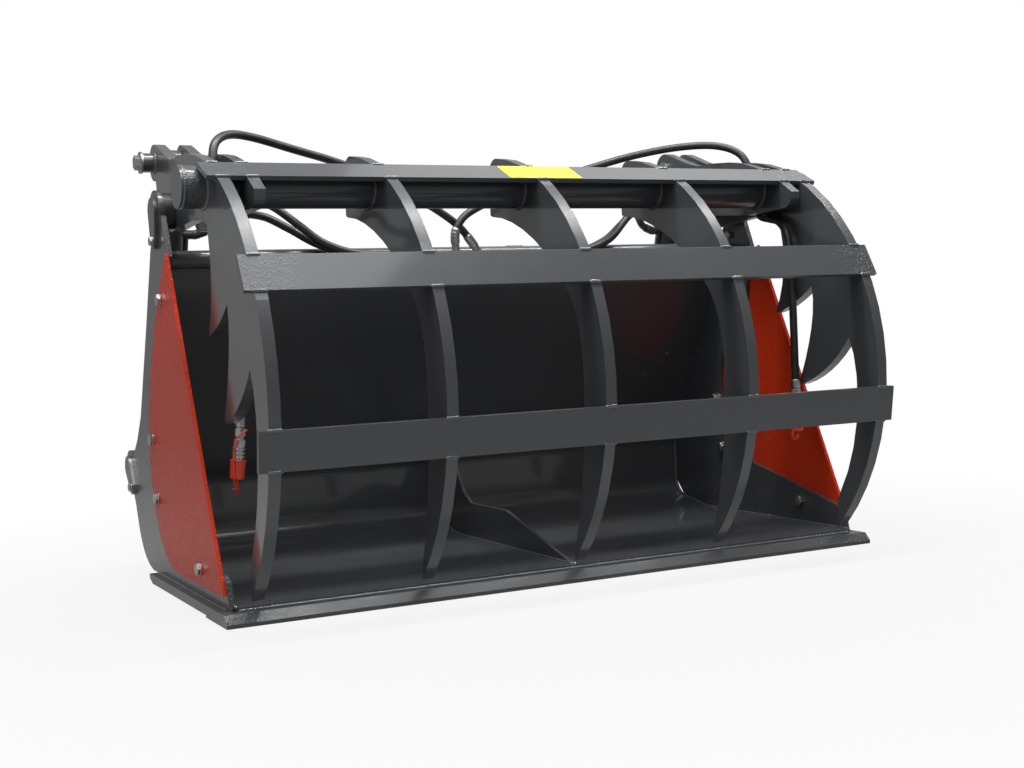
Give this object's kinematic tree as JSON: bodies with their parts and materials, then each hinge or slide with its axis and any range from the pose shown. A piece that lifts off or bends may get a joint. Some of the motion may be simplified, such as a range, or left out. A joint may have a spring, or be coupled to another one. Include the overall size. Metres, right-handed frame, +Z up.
{
  "type": "grapple bucket",
  "caption": "Grapple bucket for a front loader: bent shell bucket with bolted side panels and a hinged rake of toothed curved tines closed by twin hydraulic cylinders.",
  "frame": {"origin": "middle of the underside of the cutting edge, on the ground", "axes": "+X across the bucket towards the side that is on the right when the mouth is seen from the front, +Y rearwards to the loader, +Z up"},
  "size_m": [1.6, 1.046, 1.0124],
  "materials": {
    "frame_paint": "gloss",
    "red_paint": "gloss",
    "zinc_plate": "zinc plated",
    "bare_steel": "satin",
    "hose_rubber": "matte",
    "bush_black": "satin",
    "cap_plastic": "satin",
    "rod_chrome": "polished"
  },
  "bodies": {
    "bucket": {"cutting_edge": "frame_paint", "side_runners": "frame_paint", "wear_runners": "frame_paint", "bucket_shell": "frame_paint", "back_top_tube": "frame_paint", "side_plate_left": "frame_paint", "side_plate_right": "frame_paint", "side_extension_left": "red_paint", "side_extension_right": "red_paint", "panel_bolts": "zinc_plate", "centre_divider": "frame_paint", "back_stiffeners": "frame_paint", "hitch_bracket_left": "frame_paint", "hitch_bracket_right": "frame_paint", "cylinder_lug_left": "frame_paint", "cylinder_lug_right": "frame_paint", "lower_pin_left": "bare_steel", "lower_pin_right": "bare_steel", "lower_spacers": "bare_steel", "pivot_pin_left": "bare_steel", "pivot_pin_right": "bare_steel", "pivot_bushes": "bush_black", "flag_bolts": "zinc_plate", "hose_guide": "bare_steel"},
    "grapple": {"outer_tine_left": "frame_paint", "outer_tine_right": "frame_paint", "inner_tine_1": "frame_paint", "inner_tine_2": "frame_paint", "inner_tine_3": "frame_paint", "ear_plate_left": "frame_paint", "ear_plate_right": "frame_paint", "torque_tube": "frame_paint", "tube_caps": "frame_paint", "top_bar": "frame_paint", "middle_bar": "frame_paint", "lower_bar": "frame_paint", "ear_pin_left": "zinc_plate", "ear_pin_right": "zinc_plate", "hose_tees": "zinc_plate", "cylinder_hose_a_left": "hose_rubber", "cylinder_hose_a_right": "hose_rubber", "cylinder_hose_b_left": "hose_rubber", "cylinder_hose_b_right": "hose_rubber", "supply_hose_left": "hose_rubber", "supply_hose_right": "hose_rubber", "coupling_left": "zinc_plate", "coupling_right": "zinc_plate", "dust_cap_left": "cap_plastic", "dust_cap_right": "cap_plastic"},
    "barrel_left": {"barrel_left": "frame_paint", "port_pipe_left": "zinc_plate", "gland_left": "bare_steel"},
    "rod_left": {"rod_left": "rod_chrome", "piston_left": "bare_steel"},
    "barrel_right": {"barrel_right": "frame_paint", "port_pipe_right": "zinc_plate", "gland_right": "bare_steel"},
    "rod_right": {"rod_right": "rod_chrome", "piston_right": "bare_steel"}
  },
  "joints": [
    {"name": "grapple_open", "type": "hinge", "parent": "bucket", "child": "grapple", "pos_m": [0, 0.415, 0.848], "axis": [-1, 0, 0], "range_deg": [0, 45]},
    {"name": "barrel_swing_left", "type": "hinge", "parent": "grapple", "child": "barrel_left", "pos_m": [-0.699, 0.55, 0.97], "axis": [1, 0, 0], "range_deg": [0, 46]},
    {"name": "rod_stroke_left", "type": "slide", "parent": "barrel_left", "child": "rod_left", "axis": [0, -0.3086, 0.9512], "range_m": [0, 0.16]},
    {"name": "barrel_swing_right", "type": "hinge", "parent": "grapple", "child": "barrel_right", "pos_m": [0.699, 0.55, 0.97], "axis": [1, 0, 0], "range_deg": [0, 46]},
    {"name": "rod_stroke_right", "type": "slide", "parent": "barrel_right", "child": "rod_right", "axis": [0, -0.3086, 0.9512], "range_m": [0, 0.16]}
  ],
  "couplings": [
    {"joint": "barrel_swing_left", "follows": "grapple_open", "ratio": 0.9731},
    {"joint": "rod_stroke_left", "follows": "grapple_open", "m_per_rad": 0.17661},
    {"joint": "barrel_swing_right", "follows": "grapple_open", "ratio": 0.9731},
    {"joint": "rod_stroke_right", "follows": "grapple_open", "m_per_rad": 0.17661}
  ]
}
